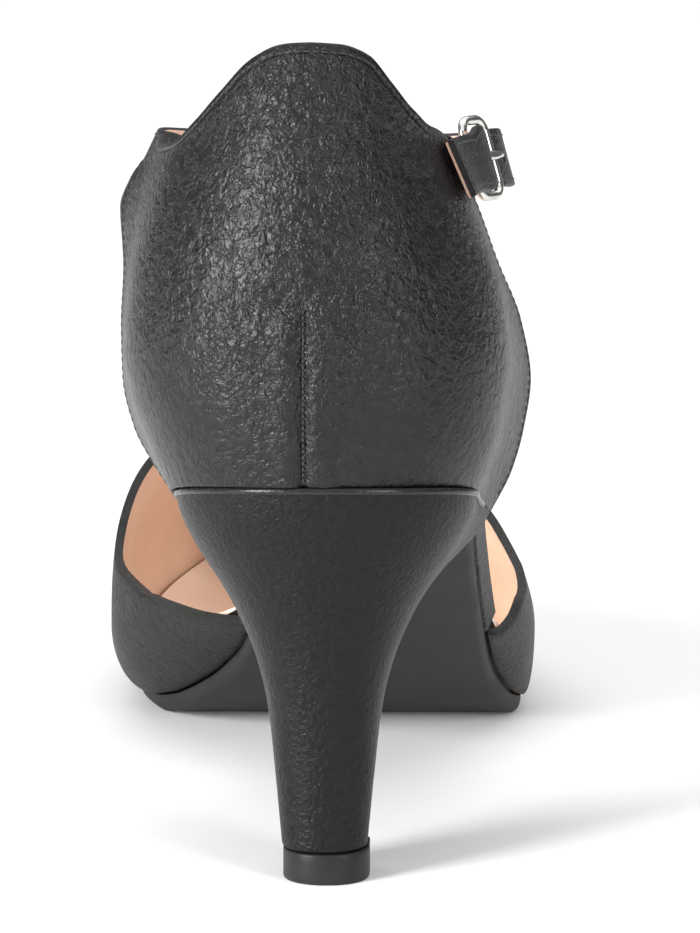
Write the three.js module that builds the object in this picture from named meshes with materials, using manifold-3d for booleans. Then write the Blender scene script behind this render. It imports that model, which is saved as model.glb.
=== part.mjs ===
// A pointed toe d'Orsay pump for the right foot: closed heel quarter with wings, closed pointed vamp,
// open sides down to the insole, a curved covered heel, and an instep strap with a ring buckle on the outside.
// Millimetres. x points to the outside (lateral) of the foot, y from the heel to the toe, z up from the floor.
import * as THREE from "three";
import Module from "manifold-3d";

const wasm = await Module();
wasm.setup();

// Driving dimensions.
const shoeLength = 243; // heel height and ball width are the first row of bottomLine and the widest vampSections row
const gap = 0.3; // clearance between neighbouring pieces
const facetRoom = 0.8; // extra clearance where a curved wall is faceted
const quarterWall = 1.8;
const vampWall = 1.6;
const insoleThickness = 4.2;
const insoleToeInset = 5; // the insole stops this far behind the toe
const liftHeight = 5.4;
const toeRadius = 6;
const soleInset = 0.6; // the outsole lies a little inside the upper
const soleBevel = 1.4;
const edgeStep = 0.02; // length of a step in the insole's outline
const waistLean = 1.8; // how far the insole's covered edge leans out in the open waist

// Height of the last's bottom above the floor, along the shoe.
const bottomLine = [
  { y: 0, z: 72.5 },
  { y: 12, z: 70.2 },
  { y: 28, z: 66.2 },
  { y: 50, z: 58.5 },
  { y: 67, z: 50.3 },
  { y: 85, z: 38.6 },
  { y: 100, z: 28 },
  { y: 115, z: 17.8 },
  { y: 130, z: 8.6 },
  { y: 138, z: 5 },
  { y: 145, z: 3.4 },
  { y: 157, z: 3.4 },
  { y: 167, z: 3.4 },
  { y: 180, z: 4.1 },
  { y: 200, z: 6.6 },
  { y: 225, z: 10.4 },
  { y: 243, z: 13.8 },
];

// Outline of the sole: how far its edge lies from the centre line on either side.
const soleOutline = [
  { y: 50, medial: 21.6, lateral: 29.6, thickness: 2.2 },
  { y: 67, medial: 16.5, lateral: 28.5, thickness: 2.2 },
  { y: 85, medial: 13, lateral: 29.2, thickness: 2.2 },
  { y: 100, medial: 12.8, lateral: 30.2, thickness: 2.3 },
  { y: 110, medial: 14.6, lateral: 31, thickness: 2.6 },
  { y: 120, medial: 18.4, lateral: 32.2, thickness: 2.9 },
  { y: 134, medial: 26.2, lateral: 35.3, thickness: 3.1 },
  { y: 146, medial: 32.4, lateral: 37.6, thickness: 3.1 },
  { y: 158, medial: 35.4, lateral: 36.8, thickness: 3.1 },
  { y: 172, medial: 35.6, lateral: 32.2, thickness: 3.1 },
  { y: 190, medial: 32.4, lateral: 24.6, thickness: 3.1 },
  { y: 210, medial: 24.8, lateral: 15.4, thickness: 3.0 },
  { y: 228, medial: 14.6, lateral: 7, thickness: 2.9 },
  { y: 243, medial: 6.6, lateral: 1.6, thickness: 2.8 },
];

// Sections of the vamp: its widest reach on either side, the height of that belly above the sole,
// and the height of the instep ridge above the floor.
const vampSections = [
  { y: 98, medial: 21.5, lateral: 31.8, belly: 8, ridge: 86 },
  { y: 110, medial: 28.6, lateral: 35.2, belly: 10, ridge: 79.5 },
  { y: 120, medial: 34.8, lateral: 37.6, belly: 12, ridge: 74 },
  { y: 133, medial: 39.1, lateral: 39.1, belly: 13, ridge: 67.5 },
  { y: 147, medial: 39.7, lateral: 39.6, belly: 13, ridge: 61.5 },
  { y: 160, medial: 39.5, lateral: 38.8, belly: 12.5, ridge: 56 },
  { y: 175, medial: 38.5, lateral: 35, belly: 11, ridge: 47.6 },
  { y: 192, medial: 34.6, lateral: 27.2, belly: 9, ridge: 37.6 },
  { y: 210, medial: 27.2, lateral: 17.8, belly: 7.5, ridge: 29 },
  { y: 228, medial: 16.8, lateral: 9, belly: 6, ridge: 23.8 },
  { y: 243, medial: 8, lateral: 3, belly: 4.5, ridge: 21.5 },
];
const ridgeOffset = -6; // the instep ridge lies to the inside of the centre line
const bellyShare = 0.72; // share of the way from the ridge to the sole where the vamp is widest
const vampRoundness = { medial: 2.6, lateral: 1.64 }; // exponents of the arch over the instep

// Top line of the vamp: where it ends towards the heel, by the share of the way from the ridge to the sole.
const vampTopLine = [
  { share: 0, medial: 168, lateral: 168 },
  { share: 0.15, medial: 166, lateral: 165.8 },
  { share: 0.3, medial: 160.5, lateral: 160 },
  { share: 0.4, medial: 154.5, lateral: 154.5 },
  { share: 0.5, medial: 145.6, lateral: 144.5 },
  { share: 0.56, medial: 140.6, lateral: 136 },
  { share: 0.6, medial: 137.2, lateral: 130 },
  { share: 0.64, medial: 132.4, lateral: 125.6 },
  { share: 0.67, medial: 127.8, lateral: 122.5 },
  { share: 0.69, medial: 123.8, lateral: 120.3 },
  { share: 0.705, medial: 120.3, lateral: 118.8 },
  { share: 0.715, medial: 117.5, lateral: 117.9 },
  { share: 0.72, medial: 115.7, lateral: 117.5 },
  { share: 0.735, medial: 113.8, lateral: 116.6 },
  { share: 0.76, medial: 111.7, lateral: 115.3 },
  { share: 0.79, medial: 109.5, lateral: 114 },
  { share: 0.82, medial: 107.8, lateral: 112.6 },
  { share: 0.86, medial: 106, lateral: 111 },
  { share: 0.93, medial: 103.7, lateral: 108.8 },
  { share: 1, medial: 102.6, lateral: 107 },
];

// Sections of the heel quarter, by height above the sole: where its back lies, where it is widest along
// the shoe, how square its curve is, its half width and centre, and the sideways and forward reach of its
// front edges.
const quarterFlareStart = 28;
const quarterSections = [
  { h: 0, back: 1.6, widest: 30, round: 2.15, half: 26.6, centre: 2.1, medial: 22.4, lateral: 31, reachMedial: 53, reachLateral: 53 },
  { h: 8, back: 0.5, widest: 31, round: 2.15, half: 29.8, centre: 1.9, medial: 27.7, lateral: 34.8, reachMedial: 55, reachLateral: 54.5 },
  { h: 16, back: 0, widest: 32, round: 2.15, half: 32.1, centre: 1.2, medial: 31.8, lateral: 36.9, reachMedial: 56.5, reachLateral: 56 },
  { h: 25, back: 0.2, widest: 34, round: 2.15, half: 33.3, centre: 0.9, medial: 33.8, lateral: 38.1, reachMedial: 57.5, reachLateral: 57 },
  { h: 35, back: 1.2, widest: 36, round: 2.12, half: 32.4, centre: 0.5, medial: 34.1, lateral: 36.4, reachMedial: 57.8, reachLateral: 56 },
  { h: 45, back: 2.8, widest: 40, round: 2.1, half: 30.2, centre: -0.3, medial: 33.7, lateral: 32.2, reachMedial: 57.6, reachLateral: 54 },
  { h: 56, back: 4.8, widest: 44, round: 2.1, half: 26.7, centre: -1, medial: 34.3, lateral: 28, reachMedial: 58.5, reachLateral: 52 },
  { h: 61, back: 5.8, widest: 45, round: 2.1, half: 24.65, centre: -0.85, medial: 32.6, lateral: 25.3, reachMedial: 58.6, reachLateral: 51.4 },
  { h: 66, back: 6.8, widest: 45, round: 2.2, half: 23.3, centre: -0.4, medial: 29.2, lateral: 22.6, reachMedial: 59.4, reachLateral: 51 },
  { h: 77, back: 9, widest: 45, round: 2.4, half: 19.6, centre: 0.8, medial: 22.6, lateral: 19.4, reachMedial: 61.5, reachLateral: 50 },
];

// Top line of the quarter: its height above the sole, by the share of the way from the back to the front edge.
const quarterTopLine = [
  { share: 0, medial: 76.8, lateral: 76.8 },
  { share: 0.06, medial: 76.65, lateral: 76.65 },
  { share: 0.12, medial: 76.25, lateral: 76.45 },
  { share: 0.19, medial: 75, lateral: 75.7 },
  { share: 0.25, medial: 73.5, lateral: 74.6 },
  { share: 0.36, medial: 69, lateral: 70.3 },
  { share: 0.48, medial: 64.6, lateral: 66.1 },
  { share: 0.62, medial: 61.9, lateral: 63.8 },
  { share: 0.8, medial: 63.4, lateral: 64 },
  { share: 1, medial: 69.8, lateral: 66.4 },
];

// The covered heel, from the seat down to the top lift.
const heelSections = [
  { drop: 0, half: 26, back: 1.6, breast: 50 },
  { drop: 0.05, half: 25.4, back: 2.2, breast: 48.8 },
  { drop: 0.11, half: 23.8, back: 3.2, breast: 47 },
  { drop: 0.18, half: 21.4, back: 4.6, breast: 44.2 },
  { drop: 0.265, half: 18, back: 6.6, breast: 40.6 },
  { drop: 0.36, half: 14.8, back: 8.4, breast: 37 },
  { drop: 0.47, half: 12, back: 9.9, breast: 33.4 },
  { drop: 0.6, half: 10, back: 11.1, breast: 30.6 },
  { drop: 0.78, half: 8.7, back: 12, breast: 28 },
  { drop: 1, half: 7.4, back: 12.5, breast: 26.4 },
];
const heelAxisTop = 2.6;
const heelAxisTip = 2.3;
const heelMiddleShare = 0.55; // where the heel's rounded back meets its flanks
const heelRoundness = 2.15;
const heelArcSteps = 9;
const heelHollow = 1.2; // how far the breast is hollowed between its corners
const heelSpread = { medial: -2, lateral: 2.4 }; // the flanks' turn outwards at the seat
const heelSpreadDrop = 0.2;
const liftGrow = 0.1;
const liftShift = 0.3;

// The strap and its ring buckle. The ring stands across the strap, outside the lateral wing.
const strap = { width: 10.5, thickness: 1.5, steps: 92 };
const ring = { x: 29.05, y: 60.4, z: 119.2, halfLength: 4.2, halfHeight: 6.9, corner: 2.6, wire: 0.85, turn: 27, pitch: 5.5 };
const chape = { width: 8.6, thickness: 0.9 };
const prong = { width: 1.8, thickness: 0.9 };
const prongRoom = 0.45;
const ringLean = 20;
const strapLoopCentre = 66; // the strap's loop round the foot is centred here
// The strap's centre line in front of the foot, from inside the medial wing to the lateral side.
const strapFront = [
  { x: -24.6, y: 52, z: 119.3, lean: 26 },
  { x: -26.2, y: 60, z: 118.6, lean: 27 },
  { x: -29, y: 69, z: 117.7, lean: 26 },
  { x: -29.2, y: 78, z: 116.7, lean: 25 },
  { x: -26.4, y: 87, z: 115.3, lean: 25 },
  { x: -16.8, y: 95.6, z: 113.6, lean: 26 },
  { x: 0, y: 100, z: 112.3, lean: 28 },
  { x: 17.2, y: 98.4, z: 112.5, lean: 26 },
  { x: 28.2, y: 92, z: 113.7, lean: 22 },
  { x: 32.7, y: 83.5, z: 115.3, lean: 17 },
  { x: 32.8, y: 75.6, z: 116.8, lean: 15 },
];
// Its way through the ring, in the ring's own frame: p forward from its centre, n out from the foot.
const strapThroughRing = [
  { p: 9.1, n: -2.25, lean: 16 },
  { p: 5.6, n: -2.35, lean: 17 },
  { p: 2.8, n: -1.4, lean: 19 },
  { p: 0, n: 0.45, lean: 20 },
  { p: -2.6, n: 2.5, lean: 20 },
  { p: -4.8, n: 3.25, lean: 21 },
];
// Its free end, which lies back along the outside of the wing.
const strapEnd = [
  { x: 29.1, y: 50, z: 120.2, lean: 23 },
  { x: 28.1, y: 46, z: 120.7, lean: 24 },
  { x: 27.15, y: 42, z: 121.2, lean: 24 },
  { x: 26.3, y: 36, z: 121.9, lean: 24 },
  { x: 25.9, y: 30, z: 122.6, lean: 24 },
  { x: 25.6, y: 26.5, z: 123, lean: 24 },
];
// The chape folds round the ring's back bar and holds the wing's front edge between its two legs.
const chapeOutside = [
  { x: 26.35, y: 46, z: 120.6, lean: 22 },
  { x: 26.45, y: 49, z: 120.3, lean: 22 },
  { x: 27, y: 52, z: 119.9, lean: 21 },
];
const chapeRoundBar = [
  { p: -5.5, n: 0.95, lean: 20 },
  { p: -4.4, n: 1.55, lean: 20 },
  { p: -3.1, n: 1.1, lean: 20 },
  { p: -2.65, n: 0, lean: 20 },
  { p: -3.1, n: -1.1, lean: 20 },
  { p: -4.4, n: -1.6, lean: 20 },
];
const chapeInside = [
  { x: 24.1, y: 53.9, z: 119.8, lean: 20 },
  { x: 21.9, y: 52.2, z: 120.1, lean: 20 },
  { x: 20.9, y: 49.2, z: 120.4, lean: 20 },
  { x: 20.7, y: 46.5, z: 120.6, lean: 20 },
];
const prongRoute = [
  { p: -3.4, n: -1.55, lean: 20 },
  { p: -4.9, n: -1.6, lean: 20 },
  { p: -5.9, n: 0, lean: 20 },
  { p: -4.9, n: 1.65, lean: 20 },
  { p: -2.5, n: 1.75, lean: 20 },
  { p: 1, n: 1.75, lean: 20 },
  { p: 3.8, n: 1.65, lean: 20 },
  { p: 5.9, n: 1.15, lean: 20 },
];
const prongRoomStart = { p: -2, n: -1.4, lean: 20 };
const prongRoomEnd = { p: 7.4, n: 0.8, lean: 20 };

// One column of a table as a smooth curve that never overshoots its rows (a monotone cubic).
function column(table, key, over = "y") {
  const x = table.map((row) => row[over]);
  const v = table.map((row) => row[key]);
  const step = x.slice(1).map((next, i) => next - x[i]);
  const secant = step.map((width, i) => (v[i + 1] - v[i]) / width);
  const slope = v.map((_, i) => {
    if (i === 0) return secant[0];
    if (i === v.length - 1) return secant[i - 1];
    if (secant[i - 1] * secant[i] <= 0) return 0;
    const before = 2 * step[i] + step[i - 1];
    const after = step[i] + 2 * step[i - 1];
    return (before + after) / (before / secant[i - 1] + after / secant[i]);
  });
  return (at) => {
    const last = x.length - 2;
    let i = x.findIndex((_, k) => k <= last && at <= x[k + 1]);
    if (i < 0) i = last;
    const t = THREE.MathUtils.clamp((at - x[i]) / step[i], 0, 1);
    const t2 = t * t;
    const t3 = t2 * t;
    return (
      (2 * t3 - 3 * t2 + 1) * v[i] +
      (t3 - 2 * t2 + t) * step[i] * slope[i] +
      (3 * t2 - 2 * t3) * v[i + 1] +
      (t3 - t2) * step[i] * slope[i + 1]
    );
  };
}

// A quarter of a superellipse: (0, 1) at 0 and (1, 0) at 1.
function quadrant(t, roundness) {
  const angle = (THREE.MathUtils.clamp(t, 0, 1) * Math.PI) / 2;
  return [Math.sin(angle) ** (2 / roundness), Math.max(0, Math.cos(angle)) ** (2 / roundness)];
}

const mix = THREE.MathUtils.lerp;
const sides = { medial: -1, lateral: 1 };
const steps = (count) => Array.from({ length: count + 1 }, (_, i) => i / count);

const bottom = column(bottomLine, "z");
const sole = {
  medial: column(soleOutline, "medial"),
  lateral: column(soleOutline, "lateral"),
  thickness: column(soleOutline, "thickness"),
};

// The toe is rounded off in plan: 1 behind it, falling to 0 at its tip.
function toeShare(y, inset) {
  const past = (y - (shoeLength - inset - toeRadius)) / toeRadius;
  return past <= 0 ? 1 : Math.sqrt(Math.max(0, 1 - past * past));
}

// Middle of the shoe in plan, where the toe's sides come together.
const middleAt = (y) => (sole.lateral(y) - sole.medial(y)) / 2;

// A closed body built from patches of points, whose shared edges are merged.
class Body {
  points = [];
  faces = [];
  places = new Map();

  vertex(point) {
    const key = point.map((value) => Math.round(value * 1e4)).join();
    if (!this.places.has(key)) {
      this.places.set(key, this.points.length);
      this.points.push(point);
    }
    return this.places.get(key);
  }

  triangle(a, b, c) {
    if (a !== b && b !== c && c !== a) this.faces.push([a, b, c]);
  }

  // A patch through rows of points, each row as long as the next.
  patch(rows, turned = false) {
    const net = rows.map((row) => row.map((point) => this.vertex(point)));
    for (let i = 0; i + 1 < net.length; i += 1) {
      for (let j = 0; j + 1 < net[i].length; j += 1) {
        const corners = [net[i][j], net[i][j + 1], net[i + 1][j + 1], net[i + 1][j]];
        if (turned) corners.reverse();
        this.triangle(corners[0], corners[1], corners[2]);
        this.triangle(corners[0], corners[2], corners[3]);
      }
    }
  }

  // A flat or nearly flat cap over a loop of points.
  cap(loop, turned = false) {
    const net = loop.map((point) => this.vertex(point));
    const centre = [0, 1, 2].map((k) => loop.reduce((sum, point) => sum + point[k], 0) / loop.length);
    const hub = this.vertex(centre);
    net.forEach((corner, i) => {
      const next = net[(i + 1) % net.length];
      if (turned) this.triangle(hub, next, corner);
      else this.triangle(hub, corner, next);
    });
  }

  geometry() {
    const volume = this.faces.reduce((sum, face) => {
      const [a, b, c] = face.map((i) => new THREE.Vector3(...this.points[i]));
      return sum + a.dot(b.cross(c));
    }, 0);
    const faces = volume < 0 ? this.faces.map(([a, b, c]) => [a, c, b]) : this.faces;
    const geometry = new THREE.BufferGeometry();
    geometry.setAttribute("position", new THREE.Float32BufferAttribute(this.points.flat(), 3));
    geometry.setIndex(faces.flat());
    geometry.computeVertexNormals();
    return geometry;
  }
}

// A wall between an outer and an inner surface, each given as rows of points.
function wall(outer, inner) {
  const body = new Body();
  const last = outer.length - 1;
  body.patch(outer);
  body.patch(inner, true);
  body.patch([outer[0], inner[0]], true);
  body.patch([outer[last], inner[last]]);
  body.patch([outer.map((row) => row[0]), inner.map((row) => row[0])]);
  body.patch([outer.map((row) => row.at(-1)), inner.map((row) => row.at(-1))], true);
  return body.geometry();
}

// A solid through closed loops of points, capped at both ends.
function loft(loops) {
  const body = new Body();
  body.patch(loops.map((loop) => [...loop, loop[0]]));
  body.cap(loops[0], true);
  body.cap(loops.at(-1));
  return body.geometry();
}

const vamp = {
  medial: column(vampSections, "medial"),
  lateral: column(vampSections, "lateral"),
  belly: column(vampSections, "belly"),
  ridge: column(vampSections, "ridge"),
};
const vampTop = {
  medial: column(vampTopLine, "medial", "share"),
  lateral: column(vampTopLine, "lateral", "share"),
};

// A point of the vamp's wall: across it by side and share, along it by y, and inset into its thickness.
function vampPoint(side, share, y, inset) {
  const sign = sides[side];
  const toe = toeShare(y, inset);
  const base = bottom(y);
  const centre = middleAt(y);
  const ridgeX = mix(centre + ridgeOffset, centre, ((y - vampSections[0].y) / (shoeLength - vampSections[0].y)) ** 2);
  const wide = vamp[side](y) - inset;
  const foot = sole[side](y) - inset;
  const belly = vamp.belly(y);
  let x;
  let z;
  if (share < bellyShare) {
    const [out, up] = quadrant(share / bellyShare, vampRoundness[side]);
    x = mix(ridgeX, sign * wide, out);
    z = mix(base + belly, vamp.ridge(y) - inset, up);
  } else {
    const angle = (((share - bellyShare) / (1 - bellyShare)) * Math.PI) / 2;
    x = sign * mix(foot, wide, Math.cos(angle));
    z = base + belly * (1 - Math.sin(angle));
  }
  return [mix(centre, x, toe), y, mix(base, z, Math.sqrt(toe))];
}

function vampSurface(inset, across, along) {
  const end = shoeLength - inset;
  const stations = [
    ...steps(across).reverse().map((share) => ["medial", share]),
    ...steps(across).slice(1).map((share) => ["lateral", share]),
  ];
  return stations.map(([side, share]) =>
    steps(along).map((t) => {
      const start = vampTop[side](share);
      const y = mix(start, end, Math.sin((t * Math.PI) / 2) ** 0.9);
      return vampPoint(side, share, y, inset);
    }),
  );
}

const quarterColumns = Object.fromEntries(
  ["back", "widest", "round", "half", "centre", "medial", "lateral", "reachMedial", "reachLateral"].map((key) => [
    key,
    column(quarterSections, key, "h"),
  ]),
);
const quarterTop = {
  medial: column(quarterTopLine, "medial", "share"),
  lateral: column(quarterTopLine, "lateral", "share"),
};

// How far forward the quarter's front edge lies on a side.
const quarterFront = (side, h) => quarterColumns[side === "medial" ? "reachMedial" : "reachLateral"](h);

// How far the quarter's wall reaches to a side at y and at a height above the sole.
function quarterReach(side, y, h, inset) {
  const half = quarterColumns.half(h) + sides[side] * quarterColumns.centre(h) - inset;
  const back = quarterColumns.back(h) + inset;
  const widest = quarterColumns.widest(h);
  const towards = THREE.MathUtils.clamp((widest - y) / (widest - back), 0, 1);
  const flare = Math.max(0, (y - quarterFlareStart) / (quarterFront(side, h) - quarterFlareStart));
  const edge = quarterColumns[side](h) - inset;
  const round = quarterColumns.round(h);
  return half * (1 - towards ** round) ** (1 / round) + (edge - half) * flare * flare;
}

// A point of the quarter's wall: round it by side and share, up it by height above the sole.
function quarterPoint(side, share, h, inset) {
  const back = quarterColumns.back(h) + inset;
  const y = mix(quarterFront(side, h), back, Math.cos((share * Math.PI) / 2));
  return [sides[side] * quarterReach(side, y, h, inset), y, bottom(y) + h];
}

function quarterSurface(inset, around, up) {
  const stations = [
    ...steps(around).reverse().map((share) => ["medial", share]),
    ...steps(around).slice(1).map((share) => ["lateral", share]),
  ];
  return stations.map(([side, share]) =>
    steps(up).map((t) => quarterPoint(side, share, t * quarterTop[side](share), inset)),
  );
}

// How far the vamp's wall reaches to a side at y, low down where the insole lies.
function vampReach(side, y, h, inset) {
  const down = THREE.MathUtils.clamp(1 - h / vamp.belly(y), 0, 1);
  const foot = sole[side](y) - inset;
  const wide = vamp[side](y) - inset;
  return mix(foot, wide, Math.sqrt(1 - down * down));
}

// Half the insole's width on one side, inside the quarter, along the open waist, or inside the vamp.
function insoleReach(side, y, h) {
  const quarterEnd = quarterFront(side, insoleThickness);
  const vampStart = vampTopLine.at(-1)[side];
  if (y < quarterEnd + gap - edgeStep / 2) return quarterReach(side, y, h, quarterWall + gap);
  if (y > vampStart - gap + edgeStep / 2) {
    const toe = toeShare(y, insoleToeInset);
    const centre = sides[side] * middleAt(y);
    return mix(centre, vampReach(side, y, h, vampWall + gap + facetRoom), toe);
  }
  return sole[side](y) + (waistLean * h) / insoleThickness;
}

// Stations along the sole that the outsole and the insole share, closer where the sole bends to the floor.
function soleStations(from, to) {
  const waist = steps(9).map((t) => mix(50, 122, t));
  const ball = steps(9).map((t) => mix(122, 158, t));
  const toe = steps(7).map((t) => mix(158, shoeLength - toeRadius, t));
  const tip = steps(5).map((t) => shoeLength - toeRadius * (1 - Math.sin((t * Math.PI) / 2)));
  const inside = [...waist, ...ball, ...toe, ...tip].filter((y) => y > from + 0.02 && y < to - 0.02);
  return [...new Set([from, ...inside, to])].sort((a, b) => a - b);
}

function insoleGeometry() {
  const start = quarterSections[0].back + quarterWall + gap;
  const end = shoeLength - insoleToeInset;
  const quarterEnd = quarterFront("medial", insoleThickness) + gap;
  const vampStarts = [vampTopLine.at(-1).medial - gap, vampTopLine.at(-1).lateral - gap];
  const heelStations = steps(12).map((t) => mix(start, quarterEnd, 1 - Math.cos((t * Math.PI) / 2)));
  const turns = vampStarts.flatMap((y) => [y, y + edgeStep]);
  const places = [...heelStations.slice(0, -1), quarterEnd - edgeStep, ...soleStations(quarterEnd, end), ...turns];
  const across = [-1, -0.5, 0, 0.5, 1];
  const row = (y, h) =>
    across.map((a) => {
      const side = a < 0 ? "medial" : "lateral";
      return [a * insoleReach(side, y, h), y, bottom(y) + h];
    });
  const stations = places.sort((a, b) => a - b);
  return loft(stations.map((y) => [...row(y, 0), ...row(y, insoleThickness).reverse()]));
}

function outsoleGeometry() {
  const across = [-1, -0.7, -0.35, 0, 0.35, 0.7, 1];
  const row = (y, low, bevel) =>
    across.map((a) => {
      const side = a < 0 ? "medial" : "lateral";
      const reach = sole[side](y) - soleInset;
      const x = a * (reach - Math.min(bevel, 0.4 * reach));
      const z = low ? Math.max(0, bottom(y) - gap - sole.thickness(y)) : bottom(y) - gap;
      return [mix(middleAt(y), x, toeShare(y, soleInset)), y, z];
    });
  const stations = soleStations(heelSections[0].breast + gap, shoeLength - soleInset);
  return loft(stations.map((y) => [...row(y, true, soleBevel), ...row(y, false, 0).reverse()]));
}

const heel = Object.fromEntries(
  ["half", "back", "breast"].map((key) => [key, column(heelSections, key, "drop")]),
);

// A loop round the covered heel at a share of the way down from its seat.
function heelLoop(drop, grow) {
  const half = heel.half(drop) + grow;
  const back = heel.back(drop) - grow;
  const breast = heel.breast(drop) + grow;
  const middle = mix(back, breast, heelMiddleShare);
  const axis = mix(heelAxisTop, heelAxisTip, Math.sqrt(drop));
  const spread = Math.max(0, 1 - drop / heelSpreadDrop);
  const flank = (side, t) => {
    const sign = sides[side];
    return [axis + sign * (half + heelSpread[side] * spread * t * t), mix(middle, breast, t)];
  };
  const arc = steps(heelArcSteps).map((t) => {
    const [out, towards] = quadrant(t, heelRoundness);
    return [half * out, mix(middle, back, towards)];
  });
  const breastX = ["medial", "lateral"].map((side) => flank(side, 1)[0]);
  return [
    ...steps(3).slice(1).reverse().map((t) => flank("medial", t)),
    ...arc.slice(1).reverse().map(([x, y]) => [axis - x, y]),
    ...arc.map(([x, y]) => [axis + x, y]),
    ...steps(3).slice(1).map((t) => flank("lateral", t)),
    ...steps(5).slice(1, -1).map((t) => [
      mix(breastX[1], breastX[0], t),
      breast - heelHollow * Math.sin(t * Math.PI),
    ]),
  ];
}

function heelGeometry() {
  const drops = heelSections.map((row) => row.drop);
  const between = drops.slice(1).map((drop, i) => (drop + drops[i]) / 2);
  const loops = [...drops, ...between].sort((a, b) => a - b).map((drop) =>
    heelLoop(drop, 0).map(([x, y]) => [x, y, mix(bottom(y) - gap, liftHeight + gap, drop)]),
  );
  return loft(loops);
}

function topLiftGeometry() {
  const loop = heelLoop(1, liftGrow).map(([x, y]) => [x + liftShift, y]);
  return loft([liftHeight, 0].map((z) => loop.map(([x, y]) => [x, y, z])));
}

const radians = THREE.MathUtils.degToRad;
const ringCentre = new THREE.Vector3(ring.x, ring.y, ring.z);
const ringForward = new THREE.Vector3(
  Math.sin(radians(ring.turn)) * Math.cos(radians(ring.pitch)),
  Math.cos(radians(ring.turn)) * Math.cos(radians(ring.pitch)),
  -Math.sin(radians(ring.pitch)),
);

// The direction across a strip, for its direction along and its lean in towards the foot.
function acrossStrip(along, outward, lean) {
  const up = new THREE.Vector3(0, 0, Math.cos(radians(lean))).addScaledVector(outward, -Math.sin(radians(lean)));
  return up.addScaledVector(along, -up.dot(along)).normalize();
}

const ringOutward = new THREE.Vector3(ringForward.y, -ringForward.x, 0).normalize();

// A point in the ring's frame, with the direction across the strip there.
function inRing({ p, n, lean }) {
  const across = acrossStrip(ringForward, ringOutward, lean);
  const out = new THREE.Vector3().crossVectors(ringForward, across);
  const place = ringCentre.clone().addScaledVector(ringForward, p).addScaledVector(out, n);
  return { place, across };
}

// A point outside the ring's frame, whose outward direction follows the loop of the strap.
function inLoop({ x, y, z, lean }) {
  const out = new THREE.Vector3(x, Math.max(0, y - strapLoopCentre), 0).normalize();
  const across = new THREE.Vector3(0, 0, Math.cos(radians(lean))).addScaledVector(out, -Math.sin(radians(lean)));
  return { place: new THREE.Vector3(x, y, z), across };
}

// A flat strip of leather or metal along a route.
function strip(route, { width, thickness }, count) {
  const centre = new THREE.CatmullRomCurve3(route.map((point) => point.place), false, "centripetal");
  const lean = new THREE.CatmullRomCurve3(route.map((point) => point.across), false, "centripetal");
  const lengths = new THREE.CatmullRomCurve3(centre.points, false, "centripetal");
  const loops = steps(count).map((t) => {
    const at = lengths.getUtoTmapping(t);
    const along = centre.getTangent(at);
    const across = lean.getPoint(at);
    across.addScaledVector(along, -across.dot(along)).normalize();
    const out = new THREE.Vector3().crossVectors(along, across);
    return [[1, 1], [1, -1], [-1, -1], [-1, 1]].map(([a, b]) =>
      centre
        .getPoint(at)
        .addScaledVector(across, (a * width) / 2)
        .addScaledVector(out, (b * thickness) / 2)
        .toArray(),
    );
  });
  return loft(loops);
}

// The ring: a round wire bent to a rounded rectangle.
function ringGeometry() {
  const { halfLength, halfHeight, corner, wire } = ring;
  const corners = [[1, 1], [-1, 1], [-1, -1], [1, -1]];
  const path = corners.flatMap(([a, b], quarterTurn) =>
    steps(5).map((t) => {
      const angle = ((quarterTurn + t) * Math.PI) / 2;
      return {
        p: a * (halfLength - corner) + corner * Math.cos(angle),
        w: b * (halfHeight - corner) + corner * Math.sin(angle),
        angle,
      };
    }),
  );
  const across = acrossStrip(ringForward, ringOutward, ringLean);
  const out = new THREE.Vector3().crossVectors(ringForward, across);
  const rows = [...path, path[0]].map(({ p, w, angle }) =>
    steps(8).map((t) => {
      const turn = t * 2 * Math.PI;
      const reach = wire * Math.cos(turn);
      return ringCentre
        .clone()
        .addScaledVector(ringForward, p + reach * Math.cos(angle))
        .addScaledVector(across, w + reach * Math.sin(angle))
        .addScaledVector(out, wire * Math.sin(turn))
        .toArray();
    }),
  );
  const body = new Body();
  body.patch(rows);
  return body.geometry();
}

function solidOf(geometry) {
  return new wasm.Manifold(
    new wasm.Mesh({
      numProp: 3,
      vertProperties: new Float32Array(geometry.attributes.position.array),
      triVerts: new Uint32Array(geometry.index.array),
    }),
  );
}

function geometryOf(solid) {
  const { vertProperties, triVerts } = solid.getMesh();
  const geometry = new THREE.BufferGeometry();
  geometry.setAttribute("position", new THREE.BufferAttribute(new Float32Array(vertProperties), 3));
  geometry.setIndex(new THREE.BufferAttribute(new Uint32Array(triVerts), 1));
  geometry.computeVertexNormals();
  return geometry;
}

// Cuts room for the prong through a strip.
function cutForProng(geometry) {
  const room = strip(
    [prongRoomStart, ...prongRoute, prongRoomEnd].map(inRing),
    { width: prong.width + 2 * prongRoom, thickness: prong.thickness + 2 * prongRoom },
    24,
  );
  return geometryOf(solidOf(geometry).subtract(solidOf(room)));
}

const materials = {
  leather: new THREE.MeshStandardMaterial({ color: 0x3a383a, roughness: 0.5 }),
  heelCover: new THREE.MeshStandardMaterial({ color: 0x343234, roughness: 0.5 }),
  sole: new THREE.MeshStandardMaterial({ color: 0x2c2b2c, roughness: 0.7 }),
  lift: new THREE.MeshStandardMaterial({ color: 0x262526, roughness: 0.4 }),
  insole: new THREE.MeshStandardMaterial({ color: 0xc99d80, roughness: 0.7 }),
  metal: new THREE.MeshStandardMaterial({ color: 0xb9b9b6, roughness: 0.2, metalness: 1 }),
};

const shoe = new THREE.Group();
function add(name, geometry, material) {
  const mesh = new THREE.Mesh(geometry, material);
  mesh.name = name;
  shoe.add(mesh);
}

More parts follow.
